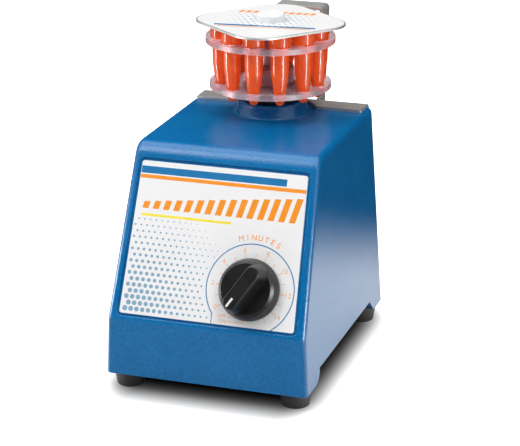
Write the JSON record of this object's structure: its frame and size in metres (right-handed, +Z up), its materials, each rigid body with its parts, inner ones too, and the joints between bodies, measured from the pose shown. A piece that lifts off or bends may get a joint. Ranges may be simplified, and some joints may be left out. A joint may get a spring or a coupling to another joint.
{
  "type": "vortex mixer",
  "caption": "Wedge-housed bench vortex mixer with a timer dial on its sloping front and an orbiting clear rack of capped microtubes under a square lid held by a thumb nut.",
  "frame": {"origin": "on the floor plane under the feet, at the middle of the whole mixer's box", "axes": "+Z up, the slanted front and its dial face -Y, +X to the right seen from the front"},
  "size_m": [0.122, 0.1988, 0.2007],
  "materials": {
    "blue_paint": "textured blue enamel on cast metal",
    "white_print": "white printed plastic",
    "zinc_steel": "zinc plated steel",
    "black_plastic": "black moulded plastic, satin",
    "grey_plastic": "grey moulded plastic",
    "stator_steel": "laminated motor steel",
    "copper_wire": "enamelled copper wire",
    "cast_aluminium": "die cast aluminium",
    "bearing_steel": "ground steel",
    "black_rubber": "black moulded rubber",
    "stainless": "brushed stainless sheet",
    "brass": "turned brass",
    "clear_acrylic": "clear acrylic, polished edges",
    "turned_aluminium": "turned aluminium",
    "orange_tube": "translucent orange polypropylene",
    "white_nylon": "white nylon"
  },
  "bodies": {
    "housing": {"housing_shell": "blue_paint", "front_faceplate": "white_print", "base_plate": "zinc_steel", "base_plate_screws": "zinc_steel", "foot_screws": "zinc_steel", "cord_gland": "black_plastic", "gland_nut": "black_plastic", "timer_case": "grey_plastic", "timer_nut": "zinc_steel", "motor_stator": "stator_steel", "motor_windings": "copper_wire", "motor_upper_bracket": "cast_aluminium", "motor_lower_bracket": "cast_aluminium", "upper_bearing": "bearing_steel", "lower_bearing": "bearing_steel", "motor_tie_bolts": "zinc_steel", "motor_isolators": "black_rubber", "motor_mount_screws": "zinc_steel", "collar_seal": "black_rubber", "stabiliser_bracket": "stainless", "bracket_arm": "stainless", "bracket_screws": "zinc_steel", "arm_screws": "zinc_steel", "front_left_foot": "black_rubber", "front_right_foot": "black_rubber", "rear_left_foot": "black_rubber", "rear_right_foot": "black_rubber"},
    "timer_knob": {"timer_knob": "black_plastic", "knob_pointer": "white_nylon", "timer_shaft": "brass"},
    "drive": {"motor_shaft": "bearing_steel", "motor_rotor": "stator_steel", "cooling_fan": "grey_plastic", "eccentric_crank": "bearing_steel", "crank_set_screw": "zinc_steel", "counterweight": "brass"},
    "head": {"head_bearing": "bearing_steel", "mixing_head": "black_rubber", "lower_disc": "clear_acrylic", "upper_disc": "clear_acrylic", "rack_hub": "turned_aluminium", "rack_stud": "zinc_steel", "rack_nut": "zinc_steel", "sample_tubes": "orange_tube", "tube_caps": "orange_tube"},
    "lid": {"lid_plate": "stainless", "lid_label": "white_print"},
    "lid_knob": {"lid_knob": "white_nylon"}
  },
  "joints": [
    {"name": "timer_turn", "type": "hinge", "parent": "housing", "child": "timer_knob", "pos_m": [0.024, -0.07801, 0.0677], "axis": [0, -0.9175, 0.3977], "range_deg": [-294, 26]},
    {"name": "motor_spin", "type": "hinge", "parent": "housing", "child": "drive", "pos_m": [0, 0.03741, 0], "axis": [0, 0, 1], "continuous": true},
    {"name": "head_orbit", "type": "hinge", "parent": "drive", "child": "head", "pos_m": [0, 0.03441, 0], "axis": [0, 0, 1], "continuous": true},
    {"name": "lid_lift", "type": "slide", "parent": "head", "child": "lid", "axis": [0, 0, 1], "range_m": [0, 0.045]},
    {"name": "lid_knob_turn", "type": "hinge", "parent": "lid", "child": "lid_knob", "pos_m": [0, 0.03441, 0.19615], "axis": [0, 0, 1], "range_deg": [0, 1800]}
  ],
  "couplings": [
    {"joint": "head_orbit", "follows": "motor_spin", "ratio": -1}
  ]
}
